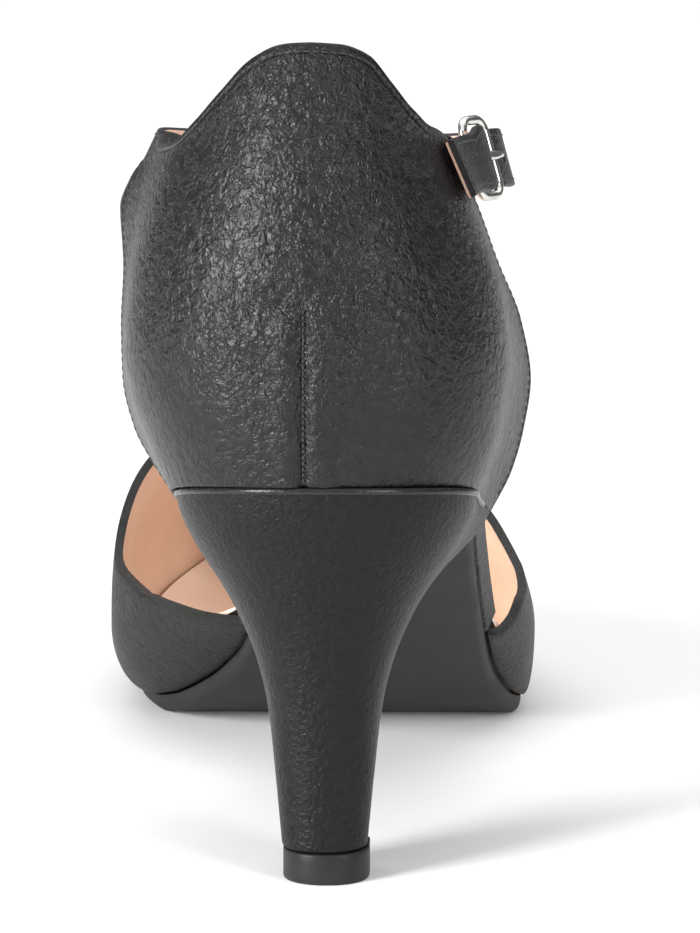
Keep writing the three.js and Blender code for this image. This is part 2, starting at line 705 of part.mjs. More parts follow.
add("outsole", outsoleGeometry(), materials.sole);
add("insole", insoleGeometry(), materials.insole);
add("vamp", wall(vampSurface(0, 13, 24), vampSurface(vampWall, 13, 24)), materials.leather);
add("quarter", wall(quarterSurface(0, 18, 14), quarterSurface(quarterWall, 18, 14)), materials.leather);
add("heel", heelGeometry(), materials.heelCover);
add("top_lift", topLiftGeometry(), materials.lift);
const strapRoute = [...strapFront.map(inLoop), ...strapThroughRing.map(inRing), ...strapEnd.map(inLoop)];
const chapeRoute = [...chapeOutside.map(inLoop), ...chapeRoundBar.map(inRing), ...chapeInside.map(inLoop)];
add("instep_strap", cutForProng(strip(strapRoute, strap, strap.steps)), materials.leather);
add("chape", cutForProng(strip(chapeRoute, chape, 30)), materials.leather);
add("buckle_ring", ringGeometry(), materials.metal);
add("buckle_prong", strip(prongRoute.map(inRing), prong, 24), materials.metal);

// The origin lies on the floor, under the middle of the whole shoe.
const box = new THREE.Box3().setFromObject(shoe);
const middle = box.getCenter(new THREE.Vector3());
shoe.children.forEach((mesh) => mesh.geometry.translate(-middle.x, -middle.y, -box.min.z));

export default shoe;
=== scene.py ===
import math
from bisect import bisect_right

import bpy
import numpy as np
from mathutils import Matrix, Vector


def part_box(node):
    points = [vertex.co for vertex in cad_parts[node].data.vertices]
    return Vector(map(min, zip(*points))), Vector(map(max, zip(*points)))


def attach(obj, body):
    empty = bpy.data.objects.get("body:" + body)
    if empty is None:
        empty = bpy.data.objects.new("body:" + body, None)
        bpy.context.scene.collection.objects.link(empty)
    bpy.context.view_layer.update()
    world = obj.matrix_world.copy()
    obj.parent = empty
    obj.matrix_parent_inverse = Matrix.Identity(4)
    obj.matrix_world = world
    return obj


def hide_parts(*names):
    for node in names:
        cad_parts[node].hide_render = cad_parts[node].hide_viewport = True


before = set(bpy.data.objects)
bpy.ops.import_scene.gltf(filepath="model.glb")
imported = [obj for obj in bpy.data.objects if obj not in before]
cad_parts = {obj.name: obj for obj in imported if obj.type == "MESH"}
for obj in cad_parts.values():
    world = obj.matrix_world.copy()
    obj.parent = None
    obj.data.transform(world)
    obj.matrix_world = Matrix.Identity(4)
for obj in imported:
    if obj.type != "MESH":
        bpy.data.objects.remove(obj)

scene = bpy.context.scene
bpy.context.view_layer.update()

# The pattern of the shoe is in millimetres, with y from the back of the heel. These carry it to
# the frame.
MM = 0.001
shift_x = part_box("top_lift")[1].x - 10.1 * MM
shift_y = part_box("vamp")[1].y - 243 * MM


def metres(point):
    x, y, z = point
    return Vector((x * MM + shift_x, y * MM + shift_y, z * MM))


def direction(turn, rise):
    """The way from the shoe to a camera or light: degrees round from behind the heel, and up."""
    turn, rise = math.radians(turn), math.radians(rise)
    return Vector((math.sin(turn) * math.cos(rise), -math.cos(turn) * math.cos(rise), math.sin(rise)))


# Camera, at the photograph's angle: behind the heel and a little above it.
def set_camera(turn, rise, distance, lens, target):
    back = direction(turn, rise)
    bpy.ops.object.camera_add(location=Vector(target) + back * distance)
    camera = bpy.context.object
    camera.rotation_euler = (-back).to_track_quat("-Z", "Y").to_euler()
    camera.data.lens = lens
    camera.data.sensor_width = 36
    camera.data.clip_end = 20
    scene.camera = camera


set_camera(0.78, 11.6, 1.5, 328.05, (0.0062, -0.0615, 0.0641))

# Pattern: the same sections as the solids, in millimetres.
LENGTH = 243
GAP = 0.3
QUARTER_WALL = 1.8
VAMP_WALL = 1.6
INSOLE = 4.2
SOCK = 0.7
LIFT = 5.4
TOE_RADIUS = 6
INSOLE_END = LENGTH - 5
VAMP_START = 98
VAMP_RIDGE_OFFSET = 6
VAMP_WIDEST = 0.72
FLARE_START = 28
WAIST_SPREAD = 1.8
HEEL_AXIS_TOP = 2.6
HEEL_AXIS_LIFT = 2.3
SOLE_INSET = 0.6
SOLE_ROUND = 1.6
STRAP_WIDTH, STRAP_THICKNESS = 10.5, 1.5
CHAPE_WIDTH, CHAPE_THICKNESS = 8.6, 0.9
PRONG_WIDTH, PRONG_THICKNESS = 1.6, 0.9
RING_HALF_LENGTH, RING_HALF_HEIGHT, RING_CORNER = 4.2, 6.9, 2.6
RING_WIRE, RING_WIRE_FLAT = 0.85, 0.8
RING_LEAN = 20

BOTTOM = [
    (0, 72.5), (12, 70.2), (28, 66.2), (50, 58.5), (67, 50.3), (85, 38.6), (100, 28), (115, 17.8), (130, 8.6),
    (138, 5), (145, 3.4), (157, 3.4), (167, 3.4), (180, 4.1), (200, 6.6), (225, 10.4), (243, 13.8),
]
# y, medial, lateral, thickness
SOLE = [
    (50, 21.6, 29.6, 2.2), (67, 16.5, 28.5, 2.2), (85, 13, 29.2, 2.2), (100, 12.8, 30.2, 2.3),
    (110, 14.6, 31, 2.6), (120, 18.4, 32.2, 2.9), (134, 26.2, 35.3, 3.1), (146, 32.4, 37.6, 3.1),
    (158, 35.4, 36.8, 3.1), (172, 35.6, 32.2, 3.1), (190, 32.4, 24.6, 3.1), (210, 24.8, 15.4, 3.0),
    (228, 14.6, 7, 2.9), (243, 6.6, 1.6, 2.8),
]
# y, medial, lateral, belly, ridge
VAMP = [
    (98, 21.5, 31.8, 8, 86), (110, 28.6, 35.2, 10, 79.5), (120, 34.8, 37.6, 12, 74),
    (133, 39.1, 39.1, 13, 67.5), (147, 39.7, 39.6, 13, 61.5), (160, 39.5, 38.8, 12.5, 56),
    (175, 38.5, 35, 11, 47.6), (192, 34.6, 27.2, 9, 37.6), (210, 27.2, 17.8, 7.5, 29),
    (228, 16.8, 9, 6, 23.8), (243, 8, 3, 4.5, 21.5),
]
# share from the ridge to the sole, medial, lateral
VAMP_TOP = [
    (0, 168, 168), (0.15, 166, 165.8), (0.3, 160.5, 160), (0.4, 154.5, 154.5), (0.5, 145.6, 144.5),
    (0.56, 140.6, 136), (0.6, 137.2, 130), (0.64, 132.4, 125.6), (0.67, 127.8, 122.5), (0.69, 123.8, 120.3),
    (0.705, 120.3, 118.8), (0.715, 117.5, 117.9), (0.72, 115.7, 117.5), (0.735, 113.8, 116.6),
    (0.76, 111.7, 115.3), (0.79, 109.5, 114), (0.82, 107.8, 112.6), (0.86, 106, 111), (0.93, 103.7, 108.8),
    (1, 102.6, 107),
]
# height, back, widest, roundness, half, centre, medial, lateral, medial reach, lateral reach
QUARTER = [
    (0, 1.6, 30, 2.15, 26.6, 2.1, 22.4, 31, 53, 53), (8, 0.5, 31, 2.15, 29.8, 1.9, 27.7, 34.8, 55, 54.5),
    (16, 0, 32, 2.15, 32.1, 1.2, 31.8, 36.9, 56.5, 56), (25, 0.2, 34, 2.15, 33.3, 0.9, 33.8, 38.1, 57.5, 57),
    (35, 1.2, 36, 2.12, 32.4, 0.5, 34.1, 36.4, 57.8, 56), (45, 2.8, 40, 2.1, 30.2, -0.3, 33.7, 32.2, 57.6, 54),
    (56, 4.8, 44, 2.1, 26.7, -1, 34.3, 28, 58.5, 52), (61, 5.8, 45, 2.1, 24.65, -0.85, 32.6, 25.3, 58.6, 51.4),
    (66, 6.8, 45, 2.2, 23.3, -0.4, 29.2, 22.6, 59.4, 51), (77, 9, 45, 2.4, 19.6, 0.8, 22.6, 19.4, 61.5, 50),
]
# share from the back to the front edge, medial height, lateral height
QUARTER_TOP = [
    (0, 76.8, 76.8), (0.06, 76.65, 76.65), (0.12, 76.25, 76.45), (0.19, 75, 75.7), (0.25, 73.5, 74.6),
    (0.36, 69, 70.3), (0.48, 64.6, 66.1), (0.62, 61.9, 63.8), (0.8, 63.4, 64), (1, 69.8, 66.4),
]
# share of the way down, half width, back, breast
HEEL = [
    (0, 26, 1.6, 50), (0.05, 25.4, 2.2, 48.8), (0.11, 23.8, 3.2, 47), (0.18, 21.4, 4.6, 44.2),
    (0.265, 18, 6.6, 40.6), (0.36, 14.8, 8.4, 37), (0.47, 12, 9.9, 33.4), (0.6, 10, 11.1, 30.6),
    (0.78, 8.7, 12, 28), (1, 7.4, 12.5, 26.4),
]
# x, y, z, lean of the strap in front of the foot
STRAP_FRONT = [
    (-24.6, 52, 119.3, 26), (-26.2, 60, 118.6, 27), (-29, 69, 117.7, 26), (-29.2, 78, 116.7, 25),
    (-26.4, 87, 115.3, 25), (-16.8, 95.6, 113.6, 26), (0, 100, 112.3, 28), (17.2, 98.4, 112.5, 26),
    (28.2, 92, 113.7, 22), (32.7, 83.5, 115.3, 17), (32.8, 75.6, 116.8, 15),
]
# forward of the ring, out from the foot, lean
STRAP_THROUGH = [
    (9.1, -2.25, 16), (5.6, -2.35, 17), (2.8, -1.4, 19), (0, 0.45, 20), (-2.6, 2.5, 20), (-4.8, 3.25, 21),
]
# x, y, z, lean of the strap's free end along the outer wing
STRAP_END = [
    (29.1, 50, 120.2, 23), (28.1, 46, 120.7, 24), (27.15, 42, 121.2, 24), (26.3, 36, 121.9, 24),
    (25.9, 30, 122.6, 24), (25.6, 26.5, 123, 24),
]
# The chape: x, y, z, lean outside and inside the wing, and as in the ring round its back bar
CHAPE_OUTSIDE = [(26.35, 46, 120.6, 22), (26.45, 49, 120.3, 22), (27, 52, 119.9, 21)]
CHAPE_ROUND_BAR = [
    (-5.5, 0.95, 20), (-4.4, 1.55, 20), (-3.1, 1.1, 20), (-2.65, 0, 20), (-3.1, -1.1, 20), (-4.4, -1.6, 20),
]
CHAPE_INSIDE = [
    (24.1, 53.9, 119.8, 20), (21.9, 52.2, 120.1, 20), (20.9, 49.2, 120.4, 20), (20.7, 46.5, 120.6, 20),
]
# forward of the ring, out from the foot, lean
PRONG = [
    (-3.4, -1.55, 20), (-4.9, -1.6, 20), (-5.9, 0, 20), (-4.9, 1.65, 20), (-2.5, 1.75, 20), (1, 1.75, 20),
    (3.8, 1.65, 20), (5.9, 1.15, 20),
]


def smooth(rows, column):
    """One column of a table as a monotone cubic over its first column."""
    x = [row[0] for row in rows]
    v = [row[column] for row in rows]
    step = [b - a for a, b in zip(x, x[1:])]
    secant = [(b - a) / s for a, b, s in zip(v, v[1:], step)]
    slope = [secant[0]]
    for i in range(1, len(v) - 1):
        a, b = secant[i - 1], secant[i]
        before, after = 2 * step[i] + step[i - 1], step[i] + 2 * step[i - 1]
        slope.append(0 if a * b <= 0 else (before + after) / (before / a + after / b))
    slope.append(secant[-1])

    def at(place):
        i = min(max(bisect_right(x, place) - 1, 0), len(step) - 1)
        t = min(max((place - x[i]) / step[i], 0), 1)
        t2, t3 = t * t, t * t * t
        return (
            (2 * t3 - 3 * t2 + 1) * v[i] + (t3 - 2 * t2 + t) * step[i] * slope[i]
            + (3 * t2 - 2 * t3) * v[i + 1] + (t3 - t2) * step[i] * slope[i + 1]
        )

    return at


def mix(a, b, t):
    return a + (b - a) * t


def steps(count):
    return [i / count for i in range(count + 1)]


def ease(low, high, value):
    t = min(max((value - low) / (high - low), 0), 1)
    return t * t * (3 - 2 * t)


SIGN = {"medial": -1, "lateral": 1}
bottom = smooth(BOTTOM, 1)
sole = {"medial": smooth(SOLE, 1), "lateral": smooth(SOLE, 2)}
sole_thickness = smooth(SOLE, 3)
vamp_reach = {"medial": smooth(VAMP, 1), "lateral": smooth(VAMP, 2)}
vamp_belly = smooth(VAMP, 3)
vamp_ridge = smooth(VAMP, 4)
vamp_top = {"medial": smooth(VAMP_TOP, 1), "lateral": smooth(VAMP_TOP, 2)}
quarter_back, quarter_widest, quarter_round = (smooth(QUARTER, i) for i in (1, 2, 3))
quarter_half, quarter_centre = (smooth(QUARTER, i) for i in (4, 5))
quarter_edge = {"medial": smooth(QUARTER, 6), "lateral": smooth(QUARTER, 7)}
quarter_front = {"medial": smooth(QUARTER, 8), "lateral": smooth(QUARTER, 9)}
quarter_top = {"medial": smooth(QUARTER_TOP, 1), "lateral": smooth(QUARTER_TOP, 2)}
heel_half, heel_back, heel_breast = (smooth(HEEL, i) for i in range(1, 4))


def middle_at(y):
    return (sole["lateral"](y) - sole["medial"](y)) / 2


def toe_share(y, inset=0):
    past = (y - (LENGTH - inset - TOE_RADIUS)) / TOE_RADIUS
    return 1 if past <= 0 else math.sqrt(max(0, 1 - past * past))


def quadrant(t, roundness):
    angle = min(max(t, 0), 1) * math.pi / 2
    return math.sin(angle) ** (2 / roundness), max(0, math.cos(angle)) ** (2 / roundness)


# Shapes of the pieces.
def vamp_point(side, share, y, inset=0):
    sign, toe, base, centre = SIGN[side], toe_share(y, inset), bottom(y), middle_at(y)
    ridge_x = mix(centre - VAMP_RIDGE_OFFSET, centre, ((y - VAMP_START) / (LENGTH - VAMP_START)) ** 2)
    wide, foot, belly = vamp_reach[side](y) - inset, sole[side](y) - inset, vamp_belly(y)
    if share < VAMP_WIDEST:
        out, up = quadrant(share / VAMP_WIDEST, {"medial": 2.6, "lateral": 1.64}[side])
        x, z = mix(ridge_x, sign * wide, out), mix(base + belly, vamp_ridge(y) - inset, up)
    else:
        angle = (share - VAMP_WIDEST) / (1 - VAMP_WIDEST) * math.pi / 2
        x, z = sign * mix(foot, wide, math.cos(angle)), base + belly * (1 - math.sin(angle))
    return mix(centre, x, toe), y, mix(base, z, math.sqrt(toe))


def vamp_at(u, v, inset=0):
    side, share = ("medial", 1 - 2 * u) if u < 0.5 else ("lateral", 2 * u - 1)
    y = mix(vamp_top[side](share), LENGTH - inset, math.sin(v * math.pi / 2) ** 0.9)
    return vamp_point(side, share, y, inset)


def quarter_reach(side, y, h, inset=0):
    half = quarter_half(h) + SIGN[side] * quarter_centre(h) - inset
    back, widest, roundness = quarter_back(h) + inset, quarter_widest(h), quarter_round(h)
    towards = min(max((widest - y) / (widest - back), 0), 1)
    flare = max(0, (y - FLARE_START) / (quarter_front[side](h) - FLARE_START))
    edge = quarter_edge[side](h) - inset
    return half * (1 - towards ** roundness) ** (1 / roundness) + (edge - half) * flare * flare


DART_TOP = 33.5
DART_X = -1.0


def dart(x, h):
    """How far the counter stands out beside and above the short seam up its back."""
    off = x - DART_X
    length = ease(DART_TOP + 1.5, DART_TOP - 5, h)
    groove = -0.85 * math.exp(-((off / 0.75) ** 2)) * length
    lips = 0.42 * math.exp(-(((abs(off) - 3.0) / 2.0) ** 2)) * length
    pucker = 0.35 * math.exp(-((off / 4.5) ** 2) - ((h - DART_TOP - 4) / 3.2) ** 2)
    hollow = -0.55 * math.exp(-(((off + 3.2) / 2.2) ** 2) - ((h - DART_TOP + 0.5) / 2.6) ** 2)
    return groove + lips + pucker + hollow


def quarter_at(u, v, inset=0):
    side, share = ("medial", 1 - 2 * u) if u < 0.5 else ("lateral", 2 * u - 1)
    h = v * quarter_top[side](share)
    back = quarter_back(h) + inset
    y = mix(quarter_front[side](h), back, math.cos(share * math.pi / 2))
    x = SIGN[side] * quarter_reach(side, y, h, inset)
    z = bottom(y) + h
    if y < 12:
        y -= dart(x, h) * ease(12, 6, y)
    return x, y, z


def insole_reach(side, y, h):
    inside = quarter_front[side](INSOLE)
    start = VAMP_TOP[-1][1 if side == "medial" else 2]
    if y < inside + GAP - 0.01:
        return quarter_reach(side, y, h, QUARTER_WALL + GAP)
    waist = sole[side](y) + WAIST_SPREAD * h / INSOLE
    if y < start - GAP:
        return waist
    down = min(max(1 - h / vamp_belly(y), 0), 1)
    room = VAMP_WALL + GAP + 0.5
    reach = mix(sole[side](y) - room, vamp_reach[side](y) - room, math.sqrt(1 - down * down))
    within = mix(SIGN[side] * middle_at(y), reach, toe_share(y, 5))
    return mix(min(waist, within), within, ease(start, start + 12, y))


def heel_loop(drop, grow=0.0, flank_steps=8, arc_steps=20):
    half, back, breast = heel_half(drop) + grow, heel_back(drop) - grow, heel_breast(drop) + grow
    middle, axis = mix(back, breast, 0.55), mix(HEEL_AXIS_TOP, HEEL_AXIS_LIFT, math.sqrt(drop))
    spread = max(0, 1 - drop / 0.2)
    turn = {"medial": -2, "lateral": 2.4}

    def flank(side, t):
        return axis + SIGN[side] * (half + turn[side] * spread * t * t), mix(middle, breast, t)

    turns = [quadrant(t, 2.15) for t in steps(arc_steps)]
    arc = [(half * out, mix(middle, back, towards)) for out, towards in turns]
    medial, lateral = flank("medial", 1)[0], flank("lateral", 1)[0]
    return (
        [flank("medial", t) for t in steps(flank_steps)[:0:-1]]
        + [(axis - x, y) for x, y in arc[:0:-1]]
        + [(axis + x, y) for x, y in arc]
        + [flank("lateral", t) for t in steps(flank_steps)[1:]]
        + [(mix(lateral, medial, t), breast - 1.2 * math.sin(t * math.pi)) for t in steps(12)[1:-1]]
    )


# Modelling helpers.
def start_fresh():
    if bpy.context.object and bpy.context.object.mode != "OBJECT":
        bpy.ops.object.mode_set(mode="OBJECT")
    bpy.ops.object.select_all(action="DESELECT")


def edit(piece, *moves):
    """Runs edit mode steps on all of the piece."""
    start_fresh()
    piece.select_set(True)
    bpy.context.view_layer.objects.active = piece
    bpy.ops.object.mode_set(mode="EDIT")
    bpy.ops.mesh.select_all(action="SELECT")
    for move in moves:
        move()
    bpy.ops.object.mode_set(mode="OBJECT")


def net(name, rows, wrap=False):
    """A grid drawn through rows of points, closed round when wrap is set."""
    across, along = len(rows[0]) - (0 if wrap else 1), len(rows) - 1
    start_fresh()
    bpy.ops.mesh.primitive_grid_add(x_subdivisions=across, y_subdivisions=along, size=2)
    piece = bpy.context.object
    piece.name = name
    for vertex in piece.data.vertices:
        i = round((vertex.co.x + 1) / 2 * across)
        j = round((vertex.co.y + 1) / 2 * along)
        vertex.co = metres(rows[j][i % len(rows[j])])
    return piece


def weld(piece):
    edit(piece, lambda: bpy.ops.mesh.remove_doubles(threshold=1e-6))


def loft(name, loops):
    """A closed solid through loops of points."""
    piece = net(name, loops, wrap=True)

    def close():
        bpy.ops.mesh.remove_doubles(threshold=1e-7)
        bpy.ops.mesh.select_all(action="DESELECT")
        bpy.ops.mesh.select_non_manifold()
        bpy.ops.mesh.fill_holes(sides=0)
        bpy.ops.mesh.select_all(action="SELECT")
        bpy.ops.mesh.normals_make_consistent(inside=False)

    edit(piece, close)
    return piece


def finish_with(piece, kind, **settings):
    start_fresh()
    piece.select_set(True)
    bpy.context.view_layer.objects.active = piece
    modifier = piece.modifiers.new(kind.title(), kind)
    for key, value in settings.items():
        setattr(modifier, key, value)
    bpy.ops.object.modifier_apply(modifier=modifier.name)


def thicken(piece, wall):
    """Gives a sheet its wall, in millimetres, inwards, with its second finish inside."""
    finish_with(piece, "SOLIDIFY", thickness=wall * MM, offset=-1, use_even_offset=True, material_offset=1)


def round_edges(piece, width, segments, angle):
    """Rounds the edges sharper than an angle in degrees, by a width in millimetres."""
    limit = math.radians(angle)
    finish_with(piece, "BEVEL", width=width * MM, segments=segments, limit_method="ANGLE", angle_limit=limit)


def soften(piece, angle=50):
    start_fresh()
    piece.select_set(True)
    bpy.context.view_layer.objects.active = piece
    bpy.ops.object.shade_smooth_by_angle(angle=math.radians(angle))


def dress(piece, slot, finishes, *nodes):
    """Gives the piece its finishes and its place on the body."""
    for finish in finishes:
        piece.data.materials.append(finish)
    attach(piece, "root")
    if nodes:
        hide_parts(*nodes)
    return piece


def mark(piece, name, values):
    """Stores one value per point, for the finishes to read."""
    layer = piece.data.attributes.new(name, "FLOAT", "POINT")
    layer.data.foreach_set("value", np.asarray(values, dtype=np.float32))


def distance_mm(piece, line, limit=12.0):
    """How far each point of the piece lies from a line of points, in millimetres."""
    points = np.array([v.co for v in piece.data.vertices])
    line = np.array([metres(p) for p in line])
    nearest = np.full(len(points), limit)
    for start in range(0, len(points), 2000):
        part = points[start:start + 2000]
        away = np.sqrt(((part[:, None, :] - line[None, :, :]) ** 2).sum(axis=2)).min(axis=1) / MM
        nearest[start:start + 2000] = np.minimum(away, limit)
    return nearest


# Finishes.
class Shade:
    """A shader value, so that shader maths reads as arithmetic."""

    def __init__(self, finish, socket):
        self.finish = finish
        self.socket = socket

    def math(self, operation, *values):
        return self.finish.node("ShaderNodeMath", {"operation": operation}, values)

    def __add__(self, other):
        return self.math("ADD", self, other)

    def __sub__(self, other):
        return self.math("SUBTRACT", self, other)

    def __rsub__(self, other):
        return self.math("SUBTRACT", other, self)

    def __mul__(self, other):
        return self.math("MULTIPLY", self, other)

    def __abs__(self):
        return self.math("ABSOLUTE", self)

    __radd__ = __add__
    __rmul__ = __mul__


class Finish:
    """A node material under construction."""

    def __init__(self, name, **constants):
        self.material = bpy.data.materials.new(name)
        self.material.use_nodes = True
        self.nodes = self.material.node_tree.nodes
        self.links = self.material.node_tree.links
        self.shader = self.nodes["Principled BSDF"]
        for key, value in constants.items():
            self.shader.inputs[key.replace("_", " ")].default_value = value
        place = self.node("ShaderNodeTexCoord", {}, {}, "Object")
        self.place = self.node("ShaderNodeVectorMath", {"operation": "SCALE"}, {0: place, "Scale": 1000.0})

    def node(self, kind, settings, values, out=0):
        node = self.nodes.new(kind)
        for key, value in settings.items():
            setattr(node, key, value)
        pairs = values.items() if isinstance(values, dict) else enumerate(values)
        for key, value in pairs:
            if isinstance(value, Shade):
                self.links.new(value.socket, node.inputs[key])
            else:
                node.inputs[key].default_value = value
        return Shade(self, node.outputs[out])

    def stretched(self, x, y, z, turn=(0, 0, 0)):
        values = {"Vector": self.place, "Scale": (x, y, z), "Rotation": turn}
        return self.node("ShaderNodeMapping", {}, values)

    def noise(self, scale, detail=2.0, distortion=0.0, place=None, roughness=0.5):
        values = {"Vector": place or self.place, "Scale": scale, "Detail": detail,
                  "Distortion": distortion, "Roughness": roughness}
        return self.node("ShaderNodeTexNoise", {}, values, "Fac")

    def warped(self, scale, amount, place=None):
        """The place shifted a little, so that a pattern wanders."""
        place = place or self.place
        shift = self.node("ShaderNodeTexNoise", {}, {"Vector": place, "Scale": scale, "Detail": 2.0}, "Color")
        shift = self.node("ShaderNodeVectorMath", {"operation": "SUBTRACT"}, {0: shift, 1: (0.5, 0.5, 0.5)})
        shift = self.node("ShaderNodeVectorMath", {"operation": "SCALE"}, {0: shift, "Scale": amount})
        return self.node("ShaderNodeVectorMath", {"operation": "ADD"}, {0: place, 1: shift})

    def cells(self, scale, place):
        """Distance to the nearest edge between cells."""
        values = {"Vector": place, "Scale": scale}
        return self.node("ShaderNodeTexVoronoi", {"feature": "DISTANCE_TO_EDGE"}, values, "Distance")

    def ramp(self, value, low, high, to_low=0.0, to_high=1.0):
        values = {"Value": value, "From Min": low, "From Max": high, "To Min": to_low, "To Max": to_high}
        return self.node("ShaderNodeMapRange", {"interpolation_type": "SMOOTHSTEP"}, values)

    def height_mm(self):
        return self.node("ShaderNodeSeparateXYZ", {}, {0: self.place}, "Z")

    def attribute(self, name):
        return self.node("ShaderNodeAttribute", {"attribute_name": name}, {}, "Fac")

    def tint(self, factor, low, high):
        values = {"Factor": factor, "A": self.colour(low), "B": self.colour(high)}
        node = self.nodes.new("ShaderNodeMix")
        node.data_type = "RGBA"
        for socket in node.inputs:
            if socket.enabled and socket.name in values:
                value = values[socket.name]
                if isinstance(value, Shade):
                    self.links.new(value.socket, socket)
                else:
                    socket.default_value = value
        return Shade(self, next(s for s in node.outputs if s.enabled))

    @staticmethod
    def colour(value):
        return value if isinstance(value, Shade) else (*value, 1.0)

    def surface(self, colour, roughness, height=None):
        """Links what varies. Height is in millimetres."""
        self.links.new(colour.socket, self.shader.inputs["Base Color"])
        self.links.new(roughness.socket, self.shader.inputs["Roughness"])
        if height is not None:
            bump = self.node("ShaderNodeBump", {}, {"Height": height, "Distance": MM, "Strength": 1.0})
            self.links.new(bump.socket, self.shader.inputs["Normal"])
        return self.material


def leather(name, dark, light, grain, wrinkles, rough, stitched=False, folded=False, seamed=False,
            relief=1.0, taut_below=None, gloss=0.31):
    """Creased faux leather: grain in millimetres, wrinkles from 0 to 1, tauter below a height."""
    finish = Finish(name, Specular_IOR_Level=gloss)
    wander = finish.warped(0.25, 3.0, finish.stretched(1.0, 1.0, 0.8))
    folds = finish.noise(0.36 / grain, 3.0, 0.5, wander, 0.6)
    crease = 1 - finish.ramp(abs(folds - 0.5), 0.0, 0.05)
    nets = finish.noise(0.5 / grain, 2.5, 0.7, finish.warped(0.6, 1.2), 0.6)
    net_crease = 1 - finish.ramp(abs(nets - 0.5), 0.0, 0.08)
    pebbles = finish.noise(0.8 / grain, 2.0, 0.5)
    fine = finish.noise(3.4, 3.0)
    patches = finish.ramp(finish.noise(0.05, 2.0), 0.4, 0.62)
    wrinkling = (patches * 0.5 + 0.5) * wrinkles
    if taut_below is not None:
        wrinkling = wrinkling * finish.ramp(finish.height_mm(), taut_below - 16, taut_below + 10, 0.35, 1.0)
    height = (pebbles * 0.9 + fine * 0.05) * relief * (wrinkling * 0.75 + 0.25)
    height = height - (net_crease * 0.1 + crease * 0.16) * (relief * wrinkling)
    # The tone is lighter on the raised pebbles and darker along the creases, more so where the leather is more
    # wrinkled: painted highlight and painted shade that follow the relief, mixed with the grain's own random
    # tone from the fine noise.
    tone = finish.ramp(pebbles * 0.6 + fine * 0.4 - crease * 0.12 * wrinkling, 0.28, 0.72)
    shade = finish.tint(tone, dark, light)
    roughness = finish.ramp(fine * 0.5 + nets * 0.5, 0.25, 0.75, rough - 0.05, rough + 0.08)
    if stitched or folded:
        edge = finish.attribute("edge_mm")
        height = height * finish.ramp(edge, 0.2, 1.6, 0.4, 1.0) + finish.ramp(edge, 0.0, 1.1, -0.16, 0.0)
    if stitched:
        height = height + finish.ramp(abs(edge - 1.55), 0.05, 0.55, -0.25, 0.0)
    if seamed:
        seam = finish.attribute("seam_mm")
        height = height + finish.ramp(seam, 0.1, 0.7, -0.45, 0.0)
        shade = finish.tint(finish.ramp(seam, 0.15, 0.6, 0.85, 0.0), shade, (0.004, 0.004, 0.004))
    return finish.surface(shade, roughness, height)


def lining(name, dark, light, edged=False):
    """Soft matt lining with a fine pore."""
    finish = Finish(name, Specular_IOR_Level=0.35, Sheen_Weight=0.15, Sheen_Roughness=0.5)
    pores = finish.ramp(finish.cells(2.6, finish.warped(0.8, 0.6)), 0.02, 0.3)
    fine = finish.noise(4.5, 3.0)
    broad = finish.noise(0.06, 2.0)
    shade = finish.tint(finish.ramp(fine * 0.35 + broad * 0.75, 0.35, 0.75), dark, light)
    height = pores * 0.02 + fine * 0.02 + broad * 0.15
    if edged:
        edge = finish.attribute("edge_mm")
        # Along the edge the lining is painted lighter in a band from 2.2 to 2.9 mm in from the rim line: a
        # painted highlight where the folded edge catches light, beside a groove in the bump.
        shade = finish.tint(finish.ramp(edge, 2.2, 2.9, 0.8, 0.0), shade, (0.8, 0.52, 0.4))
        height = height + finish.ramp(abs(edge - 2.9), 0.05, 0.5, -0.14, 0.0)
    return finish.surface(shade, finish.ramp(fine, 0.2, 0.8, 0.62, 0.78), height)


def moulded(name, dark, light, rough, scratch):
    """Smooth moulded rubber or plastic with faint scuffs."""
    finish = Finish(name, Specular_IOR_Level=0.2)
    fine = finish.noise(5.0, 3.0)
    broad = finish.noise(0.08, 3.0)
    lines = finish.noise(1.0, 2.0, 0.6, finish.stretched(6.0, 0.25, 1.2, (0.2, 0.1, 0.6)))
    scuff = finish.ramp(lines, 0.62, 0.72) * finish.ramp(broad, 0.45, 0.6)
    tone = finish.ramp(broad * 0.7 + fine * 0.3, 0.3, 0.7) * 0.8 + scuff * (0.3 * scratch)
    shade = finish.tint(tone, dark, light)
    height = fine * 0.02 - scuff * (0.02 * scratch) + broad * 0.06
    roughness = finish.ramp(broad + scuff * scratch * 0.4, 0.3, 0.8, rough - 0.05, rough + 0.08)
    return finish.surface(shade, roughness, height)


def nickel(name):
    """Polished plated metal."""
    finish = Finish(name, Specular_IOR_Level=0.5)
    fine = finish.noise(1.2, 3.0, 0.5, finish.stretched(3.0, 0.5, 3.0))
    broad = finish.noise(0.4, 2.0)
    shade = finish.tint(finish.ramp(broad, 0.3, 0.7), (0.62, 0.6, 0.57), (0.8, 0.79, 0.77))
    finish.shader.inputs["Metallic"].default_value = 1.0
    return finish.surface(shade, finish.ramp(fine * 0.7 + broad * 0.3, 0.3, 0.75, 0.1, 0.24), fine * 0.006)


def thread(name, colour):
    """Twisted sewing thread."""
    finish = Finish(name, Specular_IOR_Level=0.4, Sheen_Weight=0.2)
    twist = finish.noise(6.0, 2.0)
    shade = finish.tint(twist, tuple(c * 0.6 for c in colour), tuple(c * 1.5 for c in colour))
    return finish.surface(shade, finish.ramp(twist, 0.2, 0.8, 0.45, 0.65), twist * 0.04)


